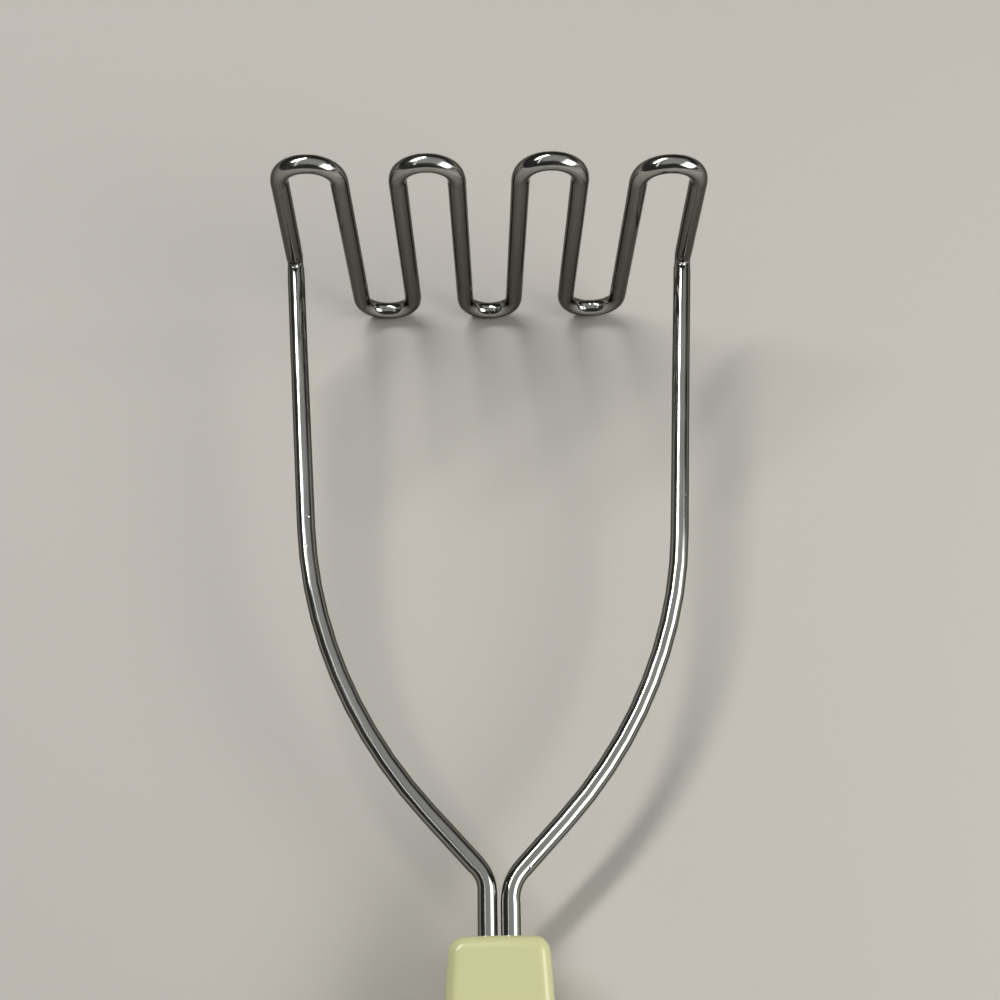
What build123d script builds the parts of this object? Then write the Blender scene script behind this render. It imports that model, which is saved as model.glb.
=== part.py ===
from build123d import *
from math import acos, atan2, degrees, hypot, radians, tan
import os

# Potato masher of one bent wire and a moulded handle, in millimetres.
#
# The wire is one unbroken length. Its middle is folded into a flat serpentine,
# the mashing head. A tight kink at each side of the head turns the wire square,
# into an arm. The two arms bow in towards each other, run side by side through
# a short neck and end inside the handle, which is moulded round them.
#
# The pieces are drawn with the arms in the XY plane, the handle towards -Y and
# the head in the XZ plane. At the end the masher is laid down as it lies on a
# table, on the three lower crowns of the head and the butt of the handle.

# Wire
wire_diameter = 4.0

# Head: legs side by side, joined by round crowns above and below the arms
upper_crown_count = 4
leg_pitch = 12.8
head_rise = 40.0            # arms' plane to the wire's centre in an upper crown
head_drop = 24.4            # the same, down to a lower crown
outer_leg_splay = 0.9       # how far an outer leg spreads from its crown to its kink
crown_round_share = 0.97    # radius of a crown's corners, of half the pitch

# Arms: a kink, a shoulder where the arm bows in, and the bend into the neck
kink_inner_radius = 0.8
shoulder_distance = 102.0       # head plane to the corner of the shoulder
shoulder_half_width = 38.4
shoulder_to_neck = 40.4         # shoulder corner to neck corner, along the masher
shoulder_round_share = 0.676    # reach of the shoulder's arc along the slope
neck_spacing = 4.9              # between the centres of the two wires
neck_bend_radius = 8.8
neck_to_handle = 10.6           # neck corner to the top face of the handle

# Hidden ends of the wire, with a pair of flats pressed into each that key it
# to the moulding
tail_depth = 38.0
crimp_length = 7.0
crimp_setback = 5.0         # full round wire left beyond the flats
crimp_depth = 0.7           # how deep each flat is pressed
socket_clearance = 0.05     # moulding to wire, all round

# Handle: flat faces, bowed sides, rounded edges and a hanging hole
handle_length = 106.0
handle_thickness = 15.2
handle_top_width = 19.6
handle_belly_width = 24.2   # halfway down
handle_butt_width = 22.6
handle_butt_bow = 2.4       # how far the end of the butt bows out
top_corner_radius = 3.2
butt_corner_radius = 6.0
edge_radius = 2.6
hang_hole_diameter = 5.6
hang_hole_setback = 10.0    # centre of the hole to the end of the butt
hang_hole_chamfer = 0.8
cut_overrun = 1.0           # how far the hole's cutter runs past each face

# Sizes that follow from the ones above
wire_radius = wire_diameter / 2
legs = 2 * upper_crown_count
outer_leg_x = (legs - 1) * leg_pitch / 2
crown_radius = crown_round_share * leg_pitch / 2
kink_x = outer_leg_x + outer_leg_splay
kink_radius = kink_inner_radius + wire_radius
neck_x = neck_spacing / 2
neck_distance = shoulder_distance + shoulder_to_neck
handle_top = neck_distance + neck_to_handle
handle_end = handle_top + handle_length
crimp_centre = tail_depth - crimp_setback - crimp_length / 2
hang_hole_y = hang_hole_setback - handle_end


def arm_corners(side):
    """Corners of one arm from the handle to its kink; side is -1 or 1."""
    return [
        Vector(side * neck_x, -handle_top, 0),
        Vector(side * neck_x, -neck_distance, 0),
        Vector(side * shoulder_half_width, -shoulder_distance, 0),
        Vector(side * kink_x, 0, 0),
    ]


def arm_radii():
    """Bend radii of an arm at its neck, its shoulder and its kink."""
    entry, neck, shoulder, kink = arm_corners(1)
    slope = shoulder - neck
    turn = slope.get_angle(kink - shoulder)
    shoulder_radius = shoulder_round_share * slope.length / tan(radians(turn) / 2)
    return [neck_bend_radius, shoulder_radius, kink_radius]


def head_corners():
    """Corners of the serpentine from left to right, two for each crown."""
    corners = []
    for leg in range(legs):
        leg_x = leg * leg_pitch - outer_leg_x
        foot = Vector(leg_x, 0, -head_drop)
        top = Vector(leg_x, 0, head_rise)
        corners += [foot, top] if leg % 2 == 0 else [top, foot]
    return corners[1:-1]


def hidden_end(side, clearance):
    """One end of the wire inside the handle, or with a clearance its socket.

    A pair of flats pressed into the round wire keys it to the moulding.
    """
    rod = Cylinder(
        wire_radius + clearance,
        tail_depth + clearance,
        rotation=(90, 0, 0),
        align=(Align.CENTER, Align.CENTER, Align.MIN),
    )
    flat = Box(
        crimp_depth,
        crimp_length - 2 * clearance,
        wire_diameter + 2 * clearance,
        align=(Align.MIN, Align.CENTER, Align.CENTER),
    )
    flat = Pos(wire_radius + clearance - crimp_depth, -crimp_centre, 0) * flat
    return Pos(side * neck_x, -handle_top, 0) * (rod - flat - mirror(flat, about=Plane.YZ))


def wire_frame():
    """The whole wire: one sweep of straight runs and tangent arcs, and its ends."""
    head = head_corners()
    corners = arm_corners(-1) + head + arm_corners(1)[::-1]
    radii = arm_radii() + [crown_radius] * len(head) + arm_radii()[::-1]
    path = FilletPolyline(*corners, radius=radii)
    # Drawn as an ellipse of two equal radii, the round section sweeps each bend
    # as a surface of revolution, which takes a third of a torus's facets.
    section = Plane(origin=path @ 0, z_dir=path % 0) * Ellipse(wire_radius, wire_radius)
    wire = sweep(section, path=path)
    for side in (-1, 1):
        wire += hidden_end(side, 0)
    length = path.length + 2 * tail_depth
    print(f"Wire: {length:.1f} mm long, shoulder radius {radii[1]:.1f} mm")
    return wire


def handle_outline():
    """Plan of the handle: square top, sides bowed by an arc, rounded butt."""
    top = handle_top_width / 2
    belly = handle_belly_width / 2
    butt = handle_butt_width / 2
    belly_y = -(handle_top + handle_end) / 2
    butt_y = handle_butt_bow - handle_end
    right_top = (top, -handle_top)
    right_butt = (butt, butt_y)
    left_butt = (-butt, butt_y)
    left_top = (-top, -handle_top)
    outline = Line(left_top, right_top)
    outline += ThreePointArc(right_top, (belly, belly_y), right_butt)
    outline += ThreePointArc(right_butt, (0, -handle_end), left_butt)
    outline += ThreePointArc(left_butt, (-belly, belly_y), left_top)
    plan = make_face(outline)
    corners = plan.vertices().sort_by(Axis.Y)
    plan = fillet(corners[:2], butt_corner_radius)
    corners = plan.vertices().sort_by(Axis.Y)
    return fillet(corners[-2:], top_corner_radius)


def handle():
    """The moulded handle, with the wire's two sockets and the hanging hole."""
    blank = extrude(handle_outline(), handle_thickness / 2, both=True)
    rims = blank.faces().sort_by(Axis.Z)
    body = fillet(rims[0].edges() + rims[-1].edges(), edge_radius)
    through = handle_thickness + 2 * cut_overrun
    hole = Pos(Y=hang_hole_y) * Cylinder(hang_hole_diameter / 2, through)
    drilled = body - hole
    lips = new_edges(body, hole, combined=drilled).filter_by(GeomType.CIRCLE)
    body = chamfer(lips, hang_hole_chamfer)
    for side in (-1, 1):
        body -= hidden_end(side, socket_clearance)
    return body


def resting_angle():
    """Angle that brings the lower crowns and the butt onto one table top.

    Both touch it with a round edge, so the angle is that of a line that touches
    two circles: the wire in a lower crown and the rounding of the butt's edge.
    """
    along = handle_end - edge_radius
    across = head_drop - (handle_thickness / 2 - edge_radius)
    return acos((edge_radius - wire_radius) / hypot(along, across)) - atan2(along, across)


def lay_down(pieces):
    """Tilt the pieces to rest on the table, centred over the origin."""
    tilt = resting_angle()
    tilted = {name: Rot(X=degrees(tilt)) * piece for name, piece in pieces.items()}
    box = Compound(tilted.values()).bounding_box()
    middle = box.center()
    place = Pos(-middle.X, -middle.Y, -box.min.Z)
    hole = place * Rot(X=degrees(tilt)) * Pos(Y=hang_hole_y)
    print(f"Resting angle {degrees(tilt):.3f} degrees, size {box.size}")
    print(f"Hang hole centre {hole.position}, axis {hole.z_axis.direction}")
    return {name: place * piece for name, piece in tilted.items()}


os.makedirs("parts", exist_ok=True)
masher = lay_down({"bent_wire": wire_frame(), "handle": handle()})
for name, piece in masher.items():
    export_step(piece, f"parts/{name}.step")
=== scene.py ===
# %% [markdown]
# # A wire potato masher
#
# The real object is one length of chromed steel wire and one moulded handle.
# This lesson dresses the packed CAD model with finely swept wire, a softly
# moulded handle and worn finishes, then lights it like a tabletop photograph.
#
# Everything is in metres and in the frame of the CAD, so no piece has to be moved
# into place: it is drawn where the CAD says that it is.

# %% Load the packed frame
import bpy
import bmesh
from math import acos, atan2, cos, degrees, exp, hypot, pi, radians, sin, sqrt, tan
from mathutils import Matrix, Vector, noise


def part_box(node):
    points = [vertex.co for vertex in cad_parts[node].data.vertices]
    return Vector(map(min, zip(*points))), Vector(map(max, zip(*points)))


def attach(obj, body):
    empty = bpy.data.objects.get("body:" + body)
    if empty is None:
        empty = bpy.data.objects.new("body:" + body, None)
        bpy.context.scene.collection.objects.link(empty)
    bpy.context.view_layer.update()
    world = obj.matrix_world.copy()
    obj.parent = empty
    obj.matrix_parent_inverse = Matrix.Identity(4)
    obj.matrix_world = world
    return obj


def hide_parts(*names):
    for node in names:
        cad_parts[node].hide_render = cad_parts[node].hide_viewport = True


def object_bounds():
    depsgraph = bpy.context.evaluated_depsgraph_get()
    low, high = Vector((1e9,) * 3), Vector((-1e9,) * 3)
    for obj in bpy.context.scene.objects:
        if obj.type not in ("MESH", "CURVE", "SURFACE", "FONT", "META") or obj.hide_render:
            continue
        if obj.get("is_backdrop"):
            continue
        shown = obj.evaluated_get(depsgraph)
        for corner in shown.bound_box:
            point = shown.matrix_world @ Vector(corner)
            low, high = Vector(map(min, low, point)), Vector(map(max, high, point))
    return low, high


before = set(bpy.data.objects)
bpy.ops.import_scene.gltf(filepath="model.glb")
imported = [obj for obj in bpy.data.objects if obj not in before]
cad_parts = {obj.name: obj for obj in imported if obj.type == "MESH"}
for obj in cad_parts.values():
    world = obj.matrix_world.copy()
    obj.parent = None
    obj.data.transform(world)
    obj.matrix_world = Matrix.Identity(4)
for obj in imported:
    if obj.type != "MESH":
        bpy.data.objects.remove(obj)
cad_low, cad_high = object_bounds()
mm = 0.001

print("CAD nodes:", sorted(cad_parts))
print("CAD box in mm:", [round(v / mm, 2) for v in cad_high - cad_low])

# %% [markdown]
# ## The camera
#
# The photograph looks down on the masher from above its handle, about 25 degrees
# off the vertical. The lens was found by fitting the wire's sizes to its outline
# in the picture: 50.4 mm on a 36 mm sensor. A camera could be turned by three
# angles, or follow an empty. Pointing it with a quaternion and then rolling it
# about its own axis keeps the three causes of the view apart: where it stands,
# what it looks at, and how it is held.

# %% Camera
camera_place = Vector((-2.93, -64.29, 302.28)) * mm
camera_target = Vector((2.0, 77.24, 0)) * mm
camera_roll = radians(1.21)
lens_length = 50.4              # in real millimetres, as Blender takes it
sensor_width = 36.0
nearest_seen = 10 * mm

camera_data = bpy.data.cameras.new("camera")
camera_data.lens = lens_length
camera_data.sensor_width = sensor_width
camera_data.clip_start = nearest_seen
camera = bpy.data.objects.new("camera", camera_data)
camera.location = camera_place
aim = (camera_target - camera_place).to_track_quat("-Z", "Y")
camera.rotation_mode = "QUATERNION"
camera.rotation_quaternion = aim @ Matrix.Rotation(camera_roll, 3, "Z").to_quaternion()
bpy.context.scene.collection.objects.link(camera)
bpy.context.scene.camera = camera
bpy.context.scene.view_settings.view_transform = "Standard"

print("Camera to target:", round((camera_target - camera_place).length / mm), "mm")

# %% [markdown]
# ## Sizes
#
# The CAD draws the masher flat, with its arms in one plane, the handle towards -Y
# and the head standing up, and lays it down at the end. The mesh could be fitted
# to the packed solids by measuring them. Repeating the CAD's driving sizes is
# simpler and exact, because the mesh then follows the same path.

# %% Driving sizes
wire_radius = 2.0 * mm
leg_pitch = 12.8 * mm
head_rise = 40.0 * mm
head_drop = 24.4 * mm
outer_leg_splay = 0.9 * mm
crown_round_share = 0.97
kink_inner_radius = 0.8 * mm
shoulder_distance = 102.0 * mm
shoulder_half_width = 38.4 * mm
shoulder_to_neck = 40.4 * mm
shoulder_round_share = 0.676
neck_x = 2.45 * mm
neck_to_handle = 10.6 * mm
tail_depth = 38.0 * mm

legs = 8
outer_leg_x = (legs - 1) * leg_pitch / 2
kink_radius = kink_inner_radius + wire_radius
neck_distance = shoulder_distance + shoulder_to_neck
handle_top = neck_distance + neck_to_handle

handle_length = 106.0 * mm
handle_half_thickness = 7.6 * mm
handle_end = handle_top + handle_length
edge_radius = 2.6 * mm

print("Head to butt:", round(handle_end / mm, 1), "mm,", legs, "legs")

# %% [markdown]
# ## Where it lies
#
# On a table the masher rests on the three lower crowns of its head and on the
# butt of its handle, so it lies a little tilted. Both touch the table with a
# round edge, so the tilt is that of a line that touches two circles. It could be
# set by eye until nothing sinks in, but worked out from the sizes it is exact.
# Only the shift is read from the frame, off the wire's box, because the CAD
# centres the whole masher over the origin.

# %% Where the masher lies
touch_along = handle_end - edge_radius
touch_across = head_drop - (handle_half_thickness - edge_radius)
touch_reach = hypot(touch_along, touch_across)
resting_tilt = acos((edge_radius - wire_radius) / touch_reach) - atan2(touch_along, touch_across)
_, wire_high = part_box("bent_wire")
lie_down = Matrix.Translation((
    0,
    wire_high.y - head_drop * sin(resting_tilt) - wire_radius,
    head_drop * cos(resting_tilt) + wire_radius,
)) @ Matrix.Rotation(resting_tilt, 4, "X")

print("Resting tilt:", round(degrees(resting_tilt), 3), "degrees")

# %% [markdown]
# ## One bent wire
#
# On the real masher the head, both arms and the neck are a single wire, bent on
# a jig and plated afterwards. A Blender curve with a bevel would be quick, but a
# hand-built sweep lets each ring change shape: wire flattens in a tight bend and
# creases on the inside of a kink, and those small faults are what catch light.
#
# The path is straight runs joined by tangent arcs. For each point it also keeps
# the `curl`: a vector towards the inside of the bend, as long as the wire's
# radius over the bend's radius.

# %% Path of runs and arcs
run_step = 1.2 * mm
first_step = 0.2 * mm           # next to a bend, where the wire is pressed out of shape
step_growth = 1.1
arc_step = radians(4)
fewest_arc_rings = 6


def bend_path(corners, radii):
    """Points and curls along straight runs that are joined by tangent arcs."""
    points, curls = [corners[0]], [Vector()]
    for before, corner, after, radius in zip(corners, corners[1:], corners[2:], radii):
        into = (corner - before).normalized()
        away = (after - corner).normalized()
        turn = into.angle(away)
        arc_start = corner - into * radius * tan(turn / 2)
        add_run(points, curls, arc_start)
        inward = (away - into * away.dot(into)).normalized()
        rings = max(fewest_arc_rings, round(turn / arc_step))
        for ring in range(1, rings + 1):
            angle = turn * ring / rings
            points.append(arc_start + (into * sin(angle) + inward * (1 - cos(angle))) * radius)
            curl = inward * cos(angle) - into * sin(angle)
            curls.append(curl * wire_radius / radius)
    add_run(points, curls, corners[-1])
    return points, curls


def run_places(length):
    """Distances along a run, closer together towards its two ends."""
    places, place, step = [], first_step, first_step
    while place < length / 2:
        places.append(place)
        step = min(step * step_growth, run_step)
        place += step
    return places + [length - near for near in reversed(places)] + [length]


def add_run(points, curls, end):
    """Steps from the last point to the end of a straight run."""
    start, length = points[-1], (end - points[-1]).length
    for place in run_places(length):
        points.append(start.lerp(end, place / length))
        curls.append(Vector())


print("Rings in a quarter bend:", round(pi / 2 / arc_step))

# %% [markdown]
# ## The serpentine
#
# A jig makes the legs alike, but they are finished by hand, so no two crowns of
# the real head are level. These small leans and heights could come from random
# numbers. They are read off the picture leg by leg instead, because the eye
# compares each gap with its neighbour. They are a millimetre at most, and they
# are what stops the head from looking like a drawing of itself.

# %% Corners of the head
leg_lean_top = [v * mm for v in (0, -0.3, -0.6, -0.8, 0.3, 0.2, 0, 0)]
leg_lean_foot = [v * mm for v in (0, 0.5, 0.5, 0.6, -0.3, -0.2, -0.1, 0)]
upper_crown_sink = [v * mm for v in (0.2, 0.1, -0.3, 1.0)]
lower_crown_lift = [v * mm for v in (0.3, 0, 0.9)]


def head_corners():
    """Corners of the serpentine from left to right, two for each crown."""
    corners = []
    for leg in range(legs):
        x = leg * leg_pitch - outer_leg_x
        top = Vector((x + leg_lean_top[leg], 0, head_rise - upper_crown_sink[leg // 2]))
        lower = min(max((leg - 1) // 2, 0), len(lower_crown_lift) - 1)
        foot = Vector((x + leg_lean_foot[leg], 0, lower_crown_lift[lower] - head_drop))
        corners += [foot, top] if leg % 2 == 0 else [top, foot]
    return corners[1:-1]


head = head_corners()

print("Corners of the head:", len(head))

# %% [markdown]
# ## The arms
#
# An arm comes out of the handle, runs beside its twin through the neck, bows out
# round its shoulder and ends in the kink at the side of the head. Four corners
# and three radii describe it, as they would for the jig it was bent on. Mirroring
# one arm would be quick, but the real two differ: the right one's shoulder bulges
# by up to a millimetre more, and the left one turns into the neck a little sooner
# and nearer to the middle. The eye sees that in the gap between them.

# %% Corners and radii of the arms
shoulder_slip = (0.4 * mm, 2.7 * mm)        # towards the handle: left arm, right arm
neck_slip = (-0.9 * mm, 0.25 * mm)          # the same, for the corner at the neck
neck_places = (0.3 * mm - neck_x, neck_x)   # where the neck's two wires lie, from the middle
neck_bend_radii = (6.8 * mm, 8.8 * mm)


def arm_corners(arm):
    """Corners of one arm from its hidden end to its kink; arm 0 is the left one."""
    side = (-1, 1)[arm]
    return [
        Vector((neck_places[arm], -handle_top - tail_depth, 0)),
        Vector((neck_places[arm], -neck_distance - neck_slip[arm], 0)),
        Vector((side * shoulder_half_width, -shoulder_distance - shoulder_slip[arm], 0)),
        Vector((side * (outer_leg_x + outer_leg_splay), 0, 0)),
    ]


def arm_radii(arm):
    """Bend radii of an arm at its neck, its shoulder and its kink."""
    _, neck, shoulder, kink = arm_corners(arm)
    slope = shoulder - neck
    reach = shoulder_round_share * slope.length
    return [neck_bend_radii[arm], reach / tan(slope.angle(kink - shoulder) / 2), kink_radius]


crown_radius = crown_round_share * leg_pitch / 2
wire_corners = arm_corners(0) + head + arm_corners(1)[::-1]
wire_radii = arm_radii(0) + [crown_radius] * len(head) + arm_radii(1)[::-1]
wire_points, wire_curls = bend_path(wire_corners, wire_radii)

print("Shoulder radii in mm:", [round(arm_radii(arm)[1] / mm, 1) for arm in (0, 1)])
print("Rings along the wire:", len(wire_points))

# %% [markdown]
# ## How bent wire differs from a drawn one
#
# Where a straight run meets a bend, real wire does not change its section at
# once, so the curls are averaged with their neighbours a few times. Nor is a
# hand-straightened wire dead straight. Moving every point at random would make it
# jagged. Slow noise lets it drift by less than a tenth of a millimetre, which
# nobody sees as a shape, but which makes a long highlight waver.

# %% Soft changes and a slight wander
curl_passes = 3
straightness = 0.07 * mm        # how far the wire wanders
wander_length = 34 * mm
wander_seed = 1                 # without a seed, Blender's noise starts from the clock
noise.seed_set(wander_seed)


def soften(curls, passes):
    """Averages each curl with its neighbours, so that a ring never jumps."""
    for _ in range(passes):
        curls = [curls[0]] + [
            (a + b * 2 + c) / 4 for a, b, c in zip(curls, curls[1:], curls[2:])
        ] + [curls[-1]]
    return curls


def wander(point):
    """A slow sideways drift of the wire's centre line."""
    return noise.noise_vector(point / wander_length) * straightness


def travelled(points):
    """Distance along the wire at each of its points."""
    distances = [0.0]
    for a, b in zip(points, points[1:]):
        distances.append(distances[-1] + (b - a).length)
    return distances


print("Widest wander:", round(max(wander(p).length for p in wire_points) / mm, 3), "mm")

# %% [markdown]
# ## The kinks
#
# A kink is folded so tightly that the wire draws thin there, and its inside has
# no round bend left: leg and arm meet in a valley. The tool that folded it left a
# V in the first millimetres of the arm, a notch with a ridge along its edge. It
# could be sculpted, or painted as bump. Here it is a height worked out for each
# point, because it is large enough to change the outline, and a formula puts it
# on both kinks alike.

# %% Folded inside of a kink
kink_half_turn = pi / 4         # half of the right angle that a kink turns
kink_curl = 0.6                 # curls above this belong to a kink
notch_tip = 3.7 * mm            # from the middle of the kink to the tip of the V
notch_spread_share = 0.9        # how far out on the wire its two sides end
notch_tip_share = 0.12          # roundness of the tip, of the wire's radius
notch_depth = 0.28 * mm
notch_reach = 1.0 * mm
ridge_height = 0.12 * mm
ridge_reach = 0.70 * mm


def fold_in(facing, towards_arm):
    """How far the inside of a kink is pressed away from the bend's centre."""
    mitre_angle = max(kink_half_turn - abs(towards_arm) / kink_radius, 0)
    mitre = (kink_radius - wire_radius * facing) * (1 / cos(mitre_angle) - 1)
    sideways = sqrt(1 - facing ** 2 + notch_tip_share ** 2)
    from_edge = towards_arm - notch_tip * (1 - sideways / notch_spread_share)
    notch = notch_depth * exp(-((from_edge / notch_reach + 1) ** 2))
    ridge = ridge_height * exp(-((from_edge / ridge_reach) ** 2))
    return (mitre + notch - ridge) * facing


def find_kinks(curls, distances):
    """Distance along the wire of each kink's middle, and where its inside faces."""
    inside = [i for i, curl in enumerate(curls) if curl.length > kink_curl]
    left = [i for i in inside if 2 * i < len(curls)]
    right = [i for i in inside if 2 * i > len(curls)]
    middles = [half[len(half) // 2] for half in (left, right)]
    return [(distances[i], curls[i].normalized()) for i in middles]


for kink_place, _ in find_kinks(wire_curls, travelled(wire_points)):
    print("Kink at", round(kink_place / mm, 1), "mm along the wire")

# %% [markdown]
# ## Rings round the path
#
# Each ring is carried along without twisting: the last ring's side vector is
# turned only as far as the path turns. A ring set up afresh at each point, from
# the path's own curvature, would flip where a bend changes its direction. In a
# bend the ring is squeezed towards the bend's centre and spreads sideways, as a
# round wire does when it is folded.

# %% Sweep the wire
ring_sides = 56
bend_squeeze_share = 0.16
bend_spread_share = 0.06
kink_waist_share = 0.13         # how much narrower the wire is drawn in a kink
kink_waist_reach = 1.8 * mm
kink_reach = 8.0 * mm           # length of wire on each side that a kink changes


def sweep_wire(points, curls):
    """Rings of a wire that flattens in its bends, with a distance for each."""
    distances = travelled(points)
    kinks = find_kinks(curls, distances)
    curls = soften(curls, curl_passes)
    side = Vector((1, 0, 0))
    rings, places = [], []
    for i, (point, curl) in enumerate(zip(points, curls)):
        ahead = points[min(i + 1, len(points) - 1)] - points[max(i - 1, 0)]
        tangent = ahead.normalized()
        side = (side - tangent * side.dot(tangent)).normalized()
        up = tangent.cross(side)
        inward = curl.normalized() if curl.length > 0 else up
        across = tangent.cross(inward)
        kink_place, kink_inward = min(kinks, key=lambda kink: abs(kink[0] - distances[i]))
        towards_arm = (distances[i] - kink_place) * (-1 if kink_place == kinks[0][0] else 1)
        kink_inward = (kink_inward - tangent * kink_inward.dot(tangent)).normalized()
        waist = kink_waist_share * exp(-((towards_arm / kink_waist_reach) ** 2))
        spread = bend_spread_share * curl.length - waist
        centre = point + wander(point)
        ring, place = [], []
        for k in range(ring_sides):
            angle = 2 * pi * k / ring_sides
            spoke = side * cos(angle) + up * sin(angle)
            reach = spoke * wire_radius
            pressed = reach.dot(inward)
            if abs(towards_arm) < kink_reach:
                pressed = min(pressed, 0)
            reach -= inward * pressed * bend_squeeze_share * curl.length
            reach += across * reach.dot(across) * spread
            facing = min(max(spoke.dot(kink_inward), 0), 1)
            if abs(towards_arm) < kink_reach:
                reach -= kink_inward * fold_in(facing, towards_arm)
            ring.append(lie_down @ (centre + reach))
            place.append((distances[i], wire_radius * cos(angle), wire_radius * sin(angle)))
        rings.append(ring)
        places.append(place)
    return rings, places


wire_rings, wire_places = sweep_wire(wire_points, wire_curls)

print("Wire length:", round(wire_places[-1][0][0] / mm, 1), "mm")

# %% [markdown]
# ## A skin over the rings
#
# The finished wire is one closed surface, as the real one is. Rings with the same
# number of points join into four-sided faces, and a flat cap closes each end. The
# same helper skins the handle and the cutters later on. Blender's own bridging
# tool could join the rings, but it works on a selection, and a loop over indices
# says plainly which points meet.
#
# Each point also keeps its distance along the wire and its place round it. The
# chrome needs them, to know which way the wire runs.

# %% Skin of the wire


def skin(name, rings):
    """A closed mesh over rings of equal count, with a flat cap on each end."""
    count = len(rings[0])
    points = [p for ring in rings for p in ring]
    faces = []
    for r in range(len(rings) - 1):
        for k in range(count):
            a, b = r * count + k, r * count + (k + 1) % count
            faces.append((a, b, b + count, a + count))
    faces.append(tuple(reversed(range(count))))
    faces.append(tuple(range(len(points) - count, len(points))))
    mesh = bpy.data.meshes.new(name)
    mesh.from_pydata(points, [], faces)
    piece = bpy.data.objects.new(name, mesh)
    bpy.context.scene.collection.objects.link(piece)
    tidy = bmesh.new()
    tidy.from_mesh(mesh)
    bmesh.ops.recalc_face_normals(tidy, faces=tidy.faces)
    tidy.to_mesh(mesh)
    tidy.free()
    mesh.shade_smooth()
    return piece


masher_wire = skin("masher_wire", wire_rings)
place_layer = masher_wire.data.attributes.new("along_wire", "FLOAT_VECTOR", "POINT")
for point_data, place in zip(place_layer.data, [p for ring in wire_places for p in ring]):
    point_data.vector = place

print("Faces of the wire:", len(masher_wire.data.polygons))

# %% [markdown]
# ## The handle's outline
#
# Seen from above, the handle is nearly a long rectangle: its sides bow out by a
# millimetre or two, its corners are rounded, and both its ends bow a little. A
# Bezier curve would do for the eye. Here the outline is five arcs that run into
# each other without a corner, worked out for the right half and then mirrored,
# because the CAD draws it with arcs too. Each point keeps the direction that
# faces out of the handle, for the rounded edges are that same outline, moved
# inwards step by step.

# %% Outline
handle_top_half = 9.8 * mm
handle_belly_half = 12.1 * mm
handle_butt_half = 11.3 * mm
top_bow = 0.25 * mm             # too slight to see but for the streak of light on its edge
butt_bow = 2.4 * mm
top_corner_radius = 3.2 * mm
butt_corner_radius = 6.0 * mm
outline_steps = {"top": 8, "corner": 12, "side": 60, "heel": 16, "butt": 12}


def circle_through(a, b, c):
    """Centre and radius of the circle through three points."""
    ab, ac = b - a, c - a
    area = 2 * (ab.x * ac.y - ab.y * ac.x)
    offset = Vector((
        (ac.y * ab.length_squared - ab.y * ac.length_squared) / area,
        (ab.x * ac.length_squared - ac.x * ab.length_squared) / area,
    ))
    return a + offset, offset.length


def arc_points(centre, radius, start, end, count):
    """Points and outward directions along an arc between two directions."""
    a, b = atan2(start.y, start.x), atan2(end.y, end.x)
    for step in range(count + 1):
        angle = a + (b - a) * step / count
        out = Vector((cos(angle), sin(angle)))
        yield centre + out * radius, out


def rounding_centre(side_centre, side_reach, end_centre, end_reach, turn):
    """Centre of a corner's arc, at its own reach from the centres of two others."""
    gap = end_centre - side_centre
    along = (gap.length_squared + side_reach ** 2 - end_reach ** 2) / (2 * gap.length)
    rise = sqrt(side_reach ** 2 - along ** 2) * turn
    unit = gap.normalized()
    return side_centre + unit * along + Vector((unit.y, -unit.x)) * rise


def half_outline():
    """The right half of the plan, from the middle of the top to that of the butt."""
    top = Vector((handle_top_half, -handle_top))
    belly = Vector((handle_belly_half, -(handle_top + handle_end) / 2))
    butt = Vector((handle_butt_half, butt_bow - handle_end))
    tip = Vector((0, -handle_end))
    side_centre, side_radius = circle_through(top, belly, butt)
    butt_centre, butt_radius = circle_through(butt, tip, Vector((-butt.x, butt.y)))
    crest = Vector((0, -handle_top))
    top_radius = (handle_top_half ** 2 + top_bow ** 2) / (2 * top_bow)
    top_centre = crest - Vector((0, top_radius))
    corner = rounding_centre(side_centre, side_radius - top_corner_radius,
                             top_centre, top_radius - top_corner_radius, -1)
    heel = rounding_centre(side_centre, side_radius - butt_corner_radius,
                           butt_centre, butt_radius - butt_corner_radius, 1)
    north, south = Vector((0, 1)), Vector((0, -1))
    top_end = (corner - top_centre).normalized()
    side_start = (corner - side_centre).normalized()
    side_end = (heel - side_centre).normalized()
    butt_end = (heel - butt_centre).normalized()
    arcs = (
        ("top", top_centre, top_radius, north, top_end),
        ("corner", corner, top_corner_radius, top_end, side_start),
        ("side", side_centre, side_radius, side_start, side_end),
        ("heel", heel, butt_corner_radius, side_end, butt_end),
        ("butt", butt_centre, butt_radius, butt_end, south),
    )
    points = []
    for part, centre, radius, start, end in arcs:
        points = points[:-1] + list(arc_points(centre, radius, start, end, outline_steps[part]))
    return points


right_half = half_outline()
mirrored = [(Vector((-p.x, p.y)), Vector((-out.x, out.y))) for p, out in right_half[-2:0:-1]]
handle_outline = right_half + mirrored

print("Points round the handle:", len(handle_outline))

# %% [markdown]
# ## The moulding
#
# A handle like this is pressed in a two-part mould. Three things follow: the
# walls lean in slightly from the middle, so that the part can leave the mould, a
# hair-thin witness line runs round where the halves met, and every edge is fully
# rounded. A box with a Bevel modifier has only the last of them. Each is a step
# in or out of the same outline at its own height, so the body is made as a stack
# of offset rings.

# %% Handle body
wall_draft = 0.07 * mm          # how far a wall leans in by the start of its edge
wall_shares = (0.35, 0.7, 1.0)  # rings up the wall, as parts of its height
witness_height = 0.045 * mm
witness_half_width = 0.13 * mm
face_margin = 0.35 * mm         # flat ring inside each rounded edge
edge_steps = 14


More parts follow.
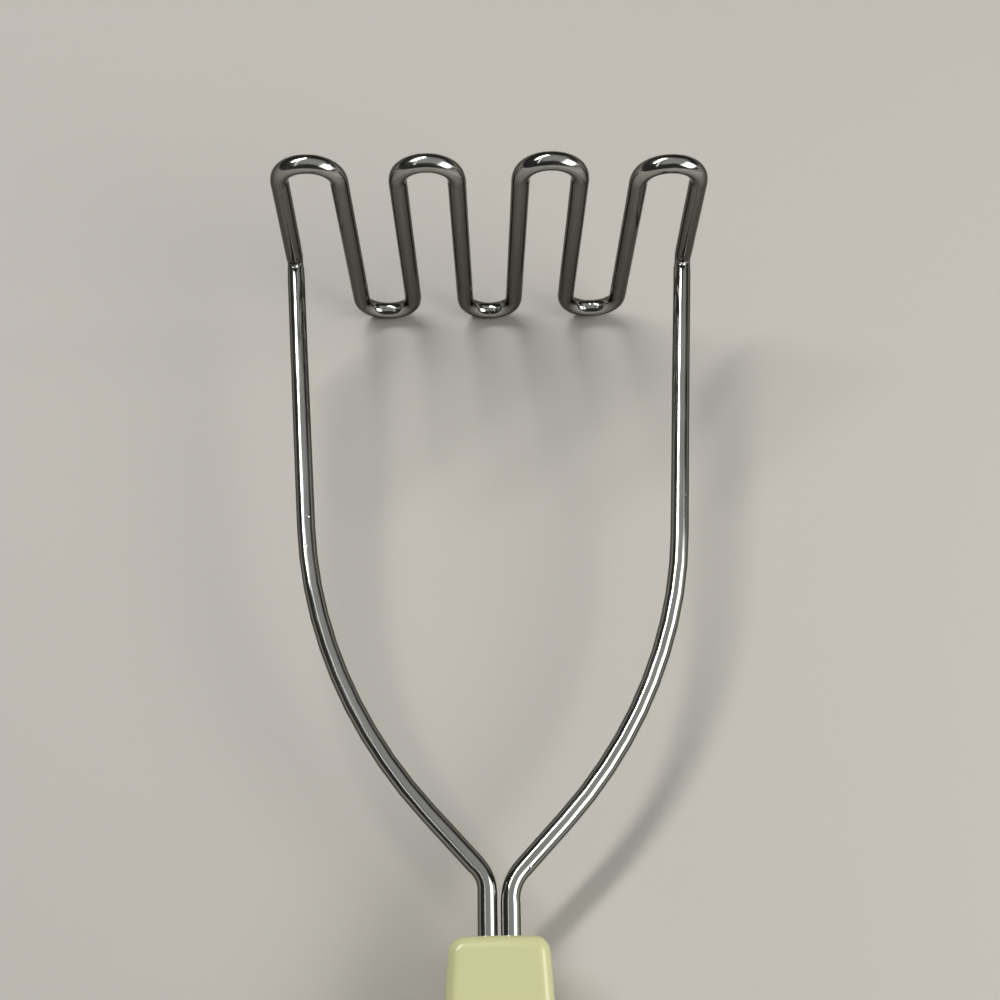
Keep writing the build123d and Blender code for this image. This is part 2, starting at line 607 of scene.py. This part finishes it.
def half_profile():
    """Inset and height of each ring from the witness line up to the flat face."""
    edge_start = handle_half_thickness - edge_radius
    yield -witness_height, 0.0
    yield 0.0, witness_half_width
    for share in wall_shares:
        yield wall_draft * share, edge_start * share
    for step in range(1, edge_steps + 1):
        angle = pi / 2 * step / edge_steps
        inset = edge_radius - (edge_radius - wall_draft) * cos(angle)
        yield inset, edge_start + edge_radius * sin(angle)
    yield edge_radius + face_margin, handle_half_thickness


upper = list(half_profile())
lower = [(inset, -height) for inset, height in upper[:0:-1]]
handle_rings = [
    [lie_down @ Vector((*(p - out * inset), height)) for p, out in handle_outline]
    for inset, height in lower + upper
]
masher_handle = skin("masher_handle", handle_rings)

print("Handle faces before drilling:", len(masher_handle.data.polygons))

# %% [markdown]
# ## The hanging hole and the sockets
#
# The handle hangs from a hole through its butt, and the wire's two ends sit in
# sockets in its top. Both could be built into the stack of rings, but the faces
# round them would be awkward to join by hand, so they are cut with the Boolean
# modifier. The cutters are turned shapes: the hanging hole's cutter flares at
# both faces, so the cut has softly rounded lips, and the two sockets are plain
# rods a hair wider than the wire.

# %% Cutters
hang_hole_radius = 2.8 * mm
hang_hole_setback = 10.0 * mm
hole_lip = 0.8 * mm
lip_steps = 8
socket_clearance = 0.05 * mm
cutter_overrun = 1.0 * mm
cutter_sides = 64


def turned(name, profile, place):
    """A closed turned shape from (radius, height) pairs, on the axis of a place."""
    angles = [2 * pi * k / cutter_sides for k in range(cutter_sides)]
    rings = [[place @ Vector((r * cos(a), r * sin(a), h)) for a in angles] for r, h in profile]
    return skin(name, rings)


def lip_profile():
    """The hanging hole's cutter from its middle up through one rounded lip."""
    for step in range(lip_steps + 1):
        angle = pi / 2 * step / lip_steps
        radius = hang_hole_radius + hole_lip * (1 - cos(angle))
        yield radius, handle_half_thickness - hole_lip * (1 - sin(angle))
    yield hang_hole_radius + hole_lip, handle_half_thickness + cutter_overrun


def cut(piece, cutter):
    """Cuts one piece with another and removes the cutter."""
    modifier = piece.modifiers.new("cut", "BOOLEAN")
    modifier.operation = "DIFFERENCE"
    modifier.solver = "EXACT"
    modifier.object = cutter
    bpy.context.view_layer.objects.active = piece
    bpy.ops.object.modifier_apply(modifier=modifier.name)
    bpy.data.objects.remove(cutter)


upper_lip = list(lip_profile())
lower_lip = [(radius, -height) for radius, height in upper_lip[::-1]]
hole_place = lie_down @ Matrix.Translation((0, hang_hole_setback - handle_end, 0))
cut(masher_handle, turned("hole_cutter", lower_lip + upper_lip, hole_place))

socket_radius = wire_radius + socket_clearance
rod = [(socket_radius, -cutter_overrun), (socket_radius, tail_depth + socket_clearance)]
for neck_place in neck_places:
    socket_place = lie_down @ Matrix.Translation((neck_place, -handle_top, 0))
    socket_place = socket_place @ Matrix.Rotation(pi / 2, 4, "X")
    cut(masher_handle, turned("socket_cutter", rod, socket_place))

print("Handle faces after drilling:", len(masher_handle.data.polygons))

# %% [markdown]
# ## Flat faces that look flat
#
# The moulding has broad flat faces beside softly rounded edges. Smooth shading
# alone averages the two, so a flat face seems to swell towards its edges. More
# faces would hide that at a cost. The Weighted Normal modifier lets the largest
# face decide instead, and the rims of the sockets, where the surface turns by
# more than 35 degrees, stay crisp.

# %% Shading of the handle
smooth_below = radians(35)
masher_handle.data.shade_smooth()
masher_handle.data.set_sharp_from_angle(angle=smooth_below)
weighting = masher_handle.modifiers.new("flat faces stay flat", "WEIGHTED_NORMAL")
weighting.keep_sharp = True
bpy.context.view_layer.objects.active = masher_handle
bpy.ops.object.modifier_apply(modifier=weighting.name)

print("Crisp edges on the handle:", sum(e.use_edge_sharp for e in masher_handle.data.edges))

# %% [markdown]
# ## Nodes from code
#
# Chrome, plastic, floor, room and lamps are all painted with node trees. They
# could be drawn by hand in the Shader Editor and read better there, but a lesson
# in one file has to write them down. One small helper adds a node, sets its
# values and links its inputs in a single call, so that a material reads like a
# recipe.

# %% Node helpers


class Nodes:
    """Adds and links nodes in one node tree."""

    def __init__(self, tree):
        self.tree = tree

    def add(self, kind, inputs=None, **settings):
        node = self.tree.nodes.new(kind)
        for name, value in settings.items():
            setattr(node, name, value)
        for name, value in (inputs or {}).items():
            if isinstance(value, bpy.types.NodeSocket):
                self.tree.links.new(value, node.inputs[name])
            else:
                node.inputs[name].default_value = value
        return node

    def math(self, operation, a, b=0.0, clamp=False):
        return self.add(
            "ShaderNodeMath", {0: a, 1: b}, operation=operation, use_clamp=clamp
        ).outputs[0]

    def band(self, value, low, high, to_low=0.0, to_high=1.0):
        """Maps a value smoothly from one range to another."""
        return self.add(
            "ShaderNodeMapRange",
            {"Value": value, "From Min": low, "From Max": high,
             "To Min": to_low, "To Max": to_high},
            interpolation_type="SMOOTHSTEP",
        ).outputs["Result"]

    def noise(self, vector, scale, detail=2.0, roughness=0.5):
        return self.add(
            "ShaderNodeTexNoise",
            {"Vector": vector, "Scale": scale, "Detail": detail, "Roughness": roughness},
        ).outputs["Fac"]

    def stretch(self, vector, scale):
        """Scales a vector; noise on it is drawn out along the axis with the least scale."""
        return self.add(
            "ShaderNodeVectorMath", {0: vector, 1: scale}, operation="MULTIPLY"
        ).outputs[0]

    def turn(self, vector, angle, scale):
        """Turns a vector about Z, then scales it."""
        turned = self.add(
            "ShaderNodeVectorRotate", {"Vector": vector, "Angle": angle}, rotation_type="Z_AXIS"
        )
        return self.stretch(turned.outputs["Vector"], scale)

    def blend(self, factor, a, b):
        """Mixes two colours by a factor."""
        node = self.add("ShaderNodeMix", data_type="RGBA")
        for socket, value in ((0, factor), (6, a), (7, b)):
            if isinstance(value, bpy.types.NodeSocket):
                self.tree.links.new(value, node.inputs[socket])
            else:
                node.inputs[socket].default_value = value
        return node.outputs[2]


print("Node helpers:", [name for name in vars(Nodes) if not name.startswith("_")])

# %% [markdown]
# ## Shared wear
#
# Chrome and moulded plastic age in the same ways, at different strengths: fine
# hairlines from being wiped, a film from being handled, and specks. The nodes
# could be copied into both materials, but then a change would have to be made
# twice. Each is one node group with named inputs instead, which both materials
# place with values of their own. A group puts out only a mask, and each material
# decides what it does.

# %% Group helpers


def new_group(name, inputs):
    """An empty group with named inputs and one output called Mask."""
    tree = bpy.data.node_groups.new(name, "ShaderNodeTree")
    tree.interface.new_socket("Vector", in_out="INPUT", socket_type="NodeSocketVector")
    for label, value in inputs.items():
        socket = tree.interface.new_socket(label, in_out="INPUT", socket_type="NodeSocketFloat")
        socket.default_value = value
    tree.interface.new_socket("Mask", in_out="OUTPUT", socket_type="NodeSocketFloat")
    nodes = Nodes(tree)
    return tree, nodes, nodes.add("NodeGroupInput").outputs


def use_group(nodes, tree, vector, **values):
    """Places a group and returns its mask."""
    node = nodes.add("ShaderNodeGroup", node_tree=tree)
    nodes.tree.links.new(vector, node.inputs["Vector"])
    for name, value in values.items():
        node.inputs[name].default_value = value
    return node.outputs["Mask"]


def show_group(tree):
    """Prints a group's name and the names of its inputs."""
    sockets = [item for item in tree.interface.items_tree if item.in_out == "INPUT"]
    print("Group", tree.name, "takes", [socket.name for socket in sockets])


print("Node groups so far:", len(bpy.data.node_groups))

# %% [markdown]
# ### Hairlines
#
# A cloth with a little grit in it leaves straight, very fine lines. A Wave
# texture would space them evenly. Noise on a vector that is squeezed along one
# axis runs in straight streaks of uneven strength, and only its crests are kept.

# %% Hairlines
hairline_level = 0.62           # noise below this leaves the surface clean

hairlines, n, given = new_group("hairlines", {"Scale": 2000.0, "Depth": 0.12})
streaks = n.noise(given["Vector"], given["Scale"], detail=0.0)
above = n.math("SUBTRACT", streaks, hairline_level)
line = n.math("DIVIDE", above, given["Depth"], clamp=True)
n.add("NodeGroupOutput", {"Mask": line})
show_group(hairlines)

# %% [markdown]
# ### Handling film
#
# A thumb or a cloth leaves broad soft patches with a finer edge, which are seen
# only where light is mirrored. They could be painted by hand, but noise with
# several octaves has both the patch and its edge, and covers any shape.

# %% Handling film
film_range = (0.38, 0.66)       # noise where the film starts and where it is full

film, n, given = new_group("handling_film", {"Scale": 60.0})
broad = n.noise(given["Vector"], given["Scale"], detail=4.0, roughness=0.6)
n.add("NodeGroupOutput", {"Mask": n.band(broad, *film_range)})
show_group(film)

# %% [markdown]
# ### Specks
#
# Pits and nodules in the plating and specks of dirt are small, round and rare.
# Noise cut off at a level gives blots of every shape. A Voronoi texture splits
# space into cells of random colour, of which only the rarest keep a small round
# dot.

# %% Specks
specks, n, given = new_group("specks", {"Scale": 500.0, "Size": 0.2, "Rarity": 0.9})
cells = n.add("ShaderNodeTexVoronoi", {"Vector": given["Vector"], "Scale": given["Scale"]})
luck = n.add("ShaderNodeSeparateColor", {"Color": cells.outputs["Color"]}).outputs[0]
from_middle = n.math("DIVIDE", cells.outputs["Distance"], given["Size"])
dot = n.math("SUBTRACT", 1.0, from_middle, clamp=True)
kept = n.math("GREATER_THAN", luck, given["Rarity"])
n.add("NodeGroupOutput", {"Mask": n.math("MULTIPLY", dot, kept)})
show_group(specks)

# %% [markdown]
# ## Materials
#
# Each finish is one Principled BSDF, a shader that describes metal, plastic and
# paint by the same few inputs. Simpler shaders could be mixed by hand, but this
# one stays believable under any light. What is the same all over a surface is set
# on the shader's own socket, and only what changes over it gets nodes.

# %% Material helpers


def new_material(name):
    """A material with an empty tree and its Principled BSDF."""
    material = bpy.data.materials.new(name)
    material.use_nodes = True
    nodes = Nodes(material.node_tree)
    return material, nodes, material.node_tree.nodes["Principled BSDF"]


def link(nodes, value, shader, socket):
    """Links a value to one of a shader's inputs."""
    nodes.tree.links.new(value, shader.inputs[socket])


chrome, n, shader = new_material("worn_chrome")
shader.inputs["Metallic"].default_value = 1.0

print("Material:", chrome.name, "with", [node.name for node in chrome.node_tree.nodes])

# %% [markdown]
# ## Chrome: marks on the plating
#
# A perfect mirror looks computed. On the old plating of the wire several things
# break it up: long draw marks that follow the wire, slow ripples and small
# nodules, a film that dulls it in patches, and a few pits where the plating has
# lifted. An image of scratches would have to be unwrapped along the wire. Noise
# on the place that the sweep stored needs no unwrapping, and its marks follow
# every bend.

# %% Marks on the chrome
draw_mark_stretch = (0.03, 1, 1)            # least along the wire, so they are long there
film_stretch = (0.35, 1, 1)
ripple_stretch = (0.12, 1, 1)
ripple_scale = 600.0

along = n.add("ShaderNodeAttribute", attribute_name="along_wire").outputs["Vector"]
where = n.add("ShaderNodeTexCoord").outputs["Object"]
draw_marks = use_group(n, hairlines, n.stretch(along, draw_mark_stretch), Scale=2600.0, Depth=0.15)
dulled = use_group(n, film, n.stretch(along, film_stretch), Scale=160.0)
pits = use_group(n, specks, where, Scale=420.0, Size=0.16, Rarity=0.90)
nodules = use_group(n, specks, where, Scale=300.0, Size=0.13, Rarity=0.88)
ripples = n.noise(n.stretch(along, ripple_stretch), ripple_scale, detail=1.0)

print("Nodes in the chrome so far:", len(chrome.node_tree.nodes))

# %% [markdown]
# ## Chrome: colour, with painted shade at the rim
#
# The wire mirrors what is round it, a good deal darker than it is, and darker
# still where it turns away. A darker room alone would give the same wire, but
# would darken the handle too. So the metal itself is grey, and Layer Weight, which
# tells how far a surface is turned from the eye, paints shade into its colour
# towards the rim: a painted reflection of the dim room. Pits show the darker base.

# %% Colour of the chrome, with painted shade at its rim
chrome_colour = (0.52, 0.515, 0.50, 1)
painted_rim_shade_colour = (0.10, 0.098, 0.088, 1)
chrome_edge_tint = (0.60, 0.59, 0.56, 1)
pit_colour = (0.10, 0.085, 0.07, 1)
painted_rim_shade_range = (0.05, 0.65)        # how far the wire has turned away where the painted shade darkens it

# painted shade: Layer Weight darkens the chrome's colour towards its rim, a painted reflection of the
# dim room
facing = n.add("ShaderNodeLayerWeight", {"Blend": 0.5}).outputs["Facing"]
plated_with_painted_rim_shade = n.blend(n.band(facing, *painted_rim_shade_range), chrome_colour, painted_rim_shade_colour)
link(n, n.blend(pits, plated_with_painted_rim_shade, pit_colour), shader, "Base Color")
shader.inputs["Specular Tint"].default_value = chrome_edge_tint

print("Chrome reflects", chrome_colour[0], "face on and", painted_rim_shade_colour[0], "at its rim")

# %% [markdown]
# ## Chrome: shine and relief
#
# Roughness says how sharp a reflection is, and bump bends it without moving the
# surface. Real geometry for marks this fine would take millions of faces. The
# film, draw marks and pits each add to the roughness, and the ripples, nodules,
# draw marks and pits make up one height for the Bump node.

# %% Shine and relief of the chrome
clean_roughness = 0.10
filmed_roughness = 0.18
draw_mark_roughness = 0.07
pit_roughness = 0.4
relief_height = 0.1 * mm        # of a nodule; the other heights are parts of it
ripple_height = 0.12
draw_mark_depth = 0.02
pit_depth = 0.3

roughness = n.band(dulled, 0.0, 1.0, clean_roughness, filmed_roughness)
roughness = n.math("ADD", roughness, n.math("MULTIPLY", draw_marks, draw_mark_roughness))
roughness = n.math("ADD", roughness, n.math("MULTIPLY", pits, pit_roughness), clamp=True)
link(n, roughness, shader, "Roughness")
raised = n.math("MULTIPLY", ripples, ripple_height)
relief = n.math("SUBTRACT", raised, n.math("MULTIPLY", draw_marks, draw_mark_depth))
dots = n.math("SUBTRACT", nodules, n.math("MULTIPLY", pits, pit_depth))
relief = n.math("ADD", relief, dots)
bump = n.add("ShaderNodeBump", {"Height": relief, "Strength": 1.0, "Distance": relief_height})
link(n, bump.outputs["Normal"], shader, "Normal")

print("Nodes in the chrome:", len(chrome.node_tree.nodes))

# %% [markdown]
# ## Ivory plastic: clouds and dirt
#
# The handle is a butter-coloured moulding. Its colour is not even: faint clouds
# of yellower plastic are drawn out along it, and a few specks of dirt have settled
# on it. One flat colour would look like a toy's, and a painted image would need
# the handle unwrapped. Noise in the object's own space has the same size on every
# face and needs neither.

# %% Clouds and dirt on the ivory
ivory_colour = (0.60, 0.595, 0.315, 1)
aged_colour = (0.54, 0.50, 0.23, 1)
dirt_and_seam_shade_colour = (0.085, 0.07, 0.045, 1)
cloud_stretch = (1, 0.35, 1)    # least along the handle, so the clouds are long there
cloud_scale = 55.0
cloud_range = (0.2, 0.9)
cloud_strength = 0.22
dirt_strength = 0.6
ivory_ior = 1.5

ivory, n, shader = new_material("aged_ivory")
shader.inputs["IOR"].default_value = ivory_ior
where = n.add("ShaderNodeTexCoord").outputs["Object"]
clouds = n.noise(n.stretch(where, cloud_stretch), cloud_scale, detail=3.0)
colour = n.blend(n.band(clouds, *cloud_range, 0.0, cloud_strength), ivory_colour, aged_colour)
dirt = use_group(n, specks, where, Scale=260.0, Size=0.10, Rarity=0.93)
colour = n.blend(n.math("MULTIPLY", dirt, dirt_strength), colour, dirt_and_seam_shade_colour)

print("Material:", ivory.name)

# %% [markdown]
# ## Ivory plastic: painted shade and grease in the seam
#
# Where the two wires enter the moulding, a thin dark ring darkens the seam: painted
# shade where the wire meets the plastic, with the grease and dust collected there.
# It could be a painted spot. Here it is the distance to the point where each wire
# enters, so the ring stays round the wire when a size changes.

# %% Painted shade and grease in the seam
seam_shade_range = (wire_radius + 0.05 * mm, wire_radius + 0.55 * mm)     # from a wire's middle
seam_shade_strength = 0.85

# painted shade: a dark ring round each wire's entry, where shade falls in the seam, with grease there
# too
seam_shade_and_grease = 0.0
for neck_place in neck_places:
    entry = lie_down @ Vector((neck_place, -handle_top, 0))
    offset = n.add("ShaderNodeVectorMath", {0: where, 1: entry}, operation="DISTANCE")
    near = n.band(offset.outputs["Value"], *seam_shade_range, seam_shade_strength, 0.0)
    seam_shade_and_grease = n.math("MAXIMUM", near, seam_shade_and_grease)
colour = n.blend(seam_shade_and_grease, colour, dirt_and_seam_shade_colour)
link(n, colour, shader, "Base Color")

print("Grease reaches", round((seam_shade_range[1] - wire_radius) / mm, 2), "mm from each wire")

# %% [markdown]
# ## Ivory plastic: shine and relief
#
# The plastic has a good shine, broken by hairlines in two directions, by the
# orange peel that the mould left and by patches that hands have dulled. A single
# roughness would mirror the lamps as clean shapes. Two sets of hairlines are
# enough, because a handle is wiped along its length and gripped at a slant.

# %% Shine and relief of the ivory
long_scuff_stretch = (1, 0.04, 1)
slant_scuff_stretch = (1, 0.05, 1)
slant_angle = radians(62)
clean_roughness = 0.19
handled_roughness = 0.255
scuff_roughness = 0.02
seam_roughness = 0.4
peel_scale = 420.0
peel_height = 0.6               # this and the next are parts of the relief's height
scuff_depth = 0.15
relief_height = 0.03 * mm
relief_strength = 0.3

long_scuffs = use_group(n, hairlines, n.stretch(where, long_scuff_stretch), Scale=3000.0, Depth=0.15)
slanted = n.turn(where, slant_angle, slant_scuff_stretch)
slant_scuffs = use_group(n, hairlines, slanted, Scale=2600.0, Depth=0.2)
scuffs = n.math("MAXIMUM", long_scuffs, slant_scuffs)
dulled = use_group(n, film, where, Scale=75.0)
shine = n.band(dulled, 0.0, 1.0, clean_roughness, handled_roughness)
roughness = n.math("ADD", shine, n.math("MULTIPLY", scuffs, scuff_roughness))
roughness = n.math("ADD", roughness, n.math("MULTIPLY", seam_shade_and_grease, seam_roughness))
link(n, roughness, shader, "Roughness")
peel = n.noise(where, peel_scale, detail=2.0)
raised = n.math("MULTIPLY", peel, peel_height)
relief = n.math("SUBTRACT", raised, n.math("MULTIPLY", scuffs, scuff_depth))
bump = n.add("ShaderNodeBump",
             {"Height": relief, "Strength": relief_strength, "Distance": relief_height})
link(n, bump.outputs["Normal"], shader, "Normal")

print("Nodes in the ivory:", len(ivory.node_tree.nodes))

# %% [markdown] ## Fitting the pieces to the frame  The two meshes stand for the
# two CAD nodes. The nodes could be kept and only given materials, but their wire
# is a perfect round section, without the kinks' folds. The masher has no joint,
# so both pieces ride on its one body.

# %% Dress the frame
for piece, node, material, slot in (
    (masher_wire, "bent_wire", chrome, "chromed_wire"),
    (masher_handle, "handle", ivory, "ivory_plastic"),
):
    piece.data.materials.clear()
    piece.data.materials.append(material)
    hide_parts(node)
    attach(piece, "root")
    print(piece.name, "stands for", node, "in", material.name)

# %% [markdown]
# ## Floor
#
# The masher lies on a plain pale floor, warm grey as in the photograph. A large
# floor would end in a hard line when seen from low down, and a curved backdrop
# would catch the lamps. This floor fades out by its Alpha instead, into a room
# whose horizon has the same colour.

# %% Floor
pale_grey = (0.50, 0.475, 0.435, 1)         # shared by the floor and the horizon
floor_roughness = 0.65
floor_fade = (0.35, 0.90)       # even up to the first distance, gone at the second
floor_half = 1.0

floor_mesh = bpy.data.meshes.new("floor")
corner_signs = ((-1, -1), (1, -1), (1, 1), (-1, 1))
floor_corners = [(x * floor_half, y * floor_half, 0) for x, y in corner_signs]
floor_mesh.from_pydata(floor_corners, [], [(0, 1, 2, 3)])
floor = bpy.data.objects.new("floor", floor_mesh)
bpy.context.scene.collection.objects.link(floor)
floor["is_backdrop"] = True
floor_paint, n, shader = new_material("floor_paint")
where = n.add("ShaderNodeTexCoord").outputs["Object"]
shader.inputs["Base Color"].default_value = pale_grey
shader.inputs["Roughness"].default_value = floor_roughness
from_middle = n.add("ShaderNodeVectorMath", {0: where}, operation="LENGTH").outputs["Value"]
link(n, n.band(from_middle, *floor_fade, 1.0, 0.0), shader, "Alpha")
floor_mesh.materials.append(floor_paint)

print("Floor:", round(2 * floor_half, 2), "m wide, fades from", floor_fade[0], "to", floor_fade[1], "m")

# %% [markdown]
# ## Room
#
# Chrome is only as good as what it mirrors. A plain bright dome would turn it
# white, and a black one would leave only its highlights. The wire in the picture
# mirrors a dim room, so the world is gloomy, with a grey ceiling overhead, a tall
# pale doorway far on the right, and the floor's own colour round the horizon.
# Each is a mask over the direction that a ray leaves in, which is cheaper than
# building walls and casts no shadow.

# %% Room
gloom_colour = (0.035, 0.036, 0.035, 1)
ceiling_colour = (0.37, 0.375, 0.37, 1)
doorway_colour = (1.0, 1.0, 1.0, 1)

# Where each edge fades, as parts of a direction: across, forwards or up.
ceiling_left = (-0.50, -0.25)
ceiling_right = (0.60, 0.90)
ceiling_far = (0.50, 0.72)
ceiling_near = (-0.62, -0.38)
ceiling_height = (0.40, 0.62)
doorway_left = (0.60, 0.75)
doorway_near = (-0.02, 0.08)
doorway_far = (0.14, 0.24)
horizon = (0.05, 0.14)

room = bpy.data.worlds.new("room")
room.use_nodes = True
bpy.context.scene.world = room
n = Nodes(room.node_tree)
direction = n.add("ShaderNodeSeparateXYZ", {0: n.add("ShaderNodeTexCoord").outputs["Generated"]})
across, forwards, height = direction.outputs
left_edge = n.band(across, *ceiling_left)
right_edge = n.band(across, *ceiling_right, 1.0, 0.0)
far_edge = n.band(forwards, *ceiling_far, 1.0, 0.0)
near_edge = n.band(forwards, *ceiling_near)
overhead = n.math("MULTIPLY", n.math("MULTIPLY", left_edge, right_edge), far_edge)
overhead = n.math("MULTIPLY", overhead, near_edge)
overhead = n.math("MULTIPLY", overhead, n.band(height, *ceiling_height))
doorway = n.math("MULTIPLY", n.band(across, *doorway_left), n.band(forwards, *doorway_near))
doorway = n.math("MULTIPLY", doorway, n.band(forwards, *doorway_far, 1.0, 0.0))
tone = n.blend(overhead, gloom_colour, ceiling_colour)
tone = n.blend(doorway, tone, doorway_colour)
tone = n.blend(n.band(height, *horizon), pale_grey, tone)
room.node_tree.links.new(tone, room.node_tree.nodes["Background"].inputs["Color"])

print("Nodes in the room:", len(room.node_tree.nodes))

# %% [markdown]
# ## Lamps
#
# Three soft boxes light the masher. The key, low on the right, lays a broad
# highlight along each wire. The back lamp, high behind the head on the left, is
# narrower and brighter, and gives the thin highlight and the crisper shadow. A
# long faint strip fills in from above on the left. Point lamps would leave hard
# dots on chrome, and an even rectangle would show its outline, so each box fades
# out towards its edges.

# %% Lamps
even_share_along = 0.4          # half of a box is 0.5; up to here its glow is even
even_share_across = 0.1


def soft_box(name, place, target, length, width, power):
    """A lamp, level along its length, that faces a target and fades out to its edges."""
    data = bpy.data.lights.new(name, "AREA")
    data.shape = "RECTANGLE"
    data.size, data.size_y, data.energy = length, width, power
    data.use_nodes = True
    n = Nodes(data.node_tree)
    place_in_lamp = n.add("ShaderNodeNewGeometry").outputs["Parametric"]
    u, v, _ = n.add("ShaderNodeSeparateXYZ", {0: place_in_lamp}).outputs
    glow = 1.0
    for side, even_share in ((u, even_share_along), (v, even_share_across)):
        from_middle = n.math("ABSOLUTE", n.math("SUBTRACT", side, 0.5))
        glow = n.math("MULTIPLY", n.band(from_middle, even_share, 0.5, 1.0, 0.0), glow)
    emission = data.node_tree.nodes["Emission"]
    data.node_tree.links.new(glow, emission.inputs["Strength"])
    lamp = bpy.data.objects.new(name, data)
    lamp.location = place
    lamp.rotation_mode = "QUATERNION"
    lamp.rotation_quaternion = (target - place).to_track_quat("-Z", "Y")
    bpy.context.scene.collection.objects.link(lamp)
    print("Lamp", name, "gives", power, "W over", length, "by", width, "m")


lamp_target = Vector((0, 30, 0)) * mm
strip_place = Vector((-500, 200, 1100)) * mm
key_place = Vector((600, -120, 470)) * mm
back_place = Vector((-500, 620, 1100)) * mm
soft_box("strip", strip_place, lamp_target, length=2.4, width=0.16, power=2.2)
soft_box("key", key_place, lamp_target, length=0.74, width=0.58, power=7.2)
soft_box("back", back_place, lamp_target, length=1.10, width=0.18, power=19.5)

# %% [markdown]
# ## Check and finish
#
# Dressing the masher must not change its size. The finished pieces could be
# checked by eye against the CAD, but a few tenths of a millimetre don't show. So
# the box of the finished pieces is compared with the CAD's, and how far it grows
# is printed.

# %% Compare the boxes and finish
bpy.context.view_layer.update()
seen_low, seen_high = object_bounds()
growth = (*(cad_low - seen_low), *(seen_high - cad_high))
print("Box grows by, in mm:", [round(v / mm, 3) for v in growth])
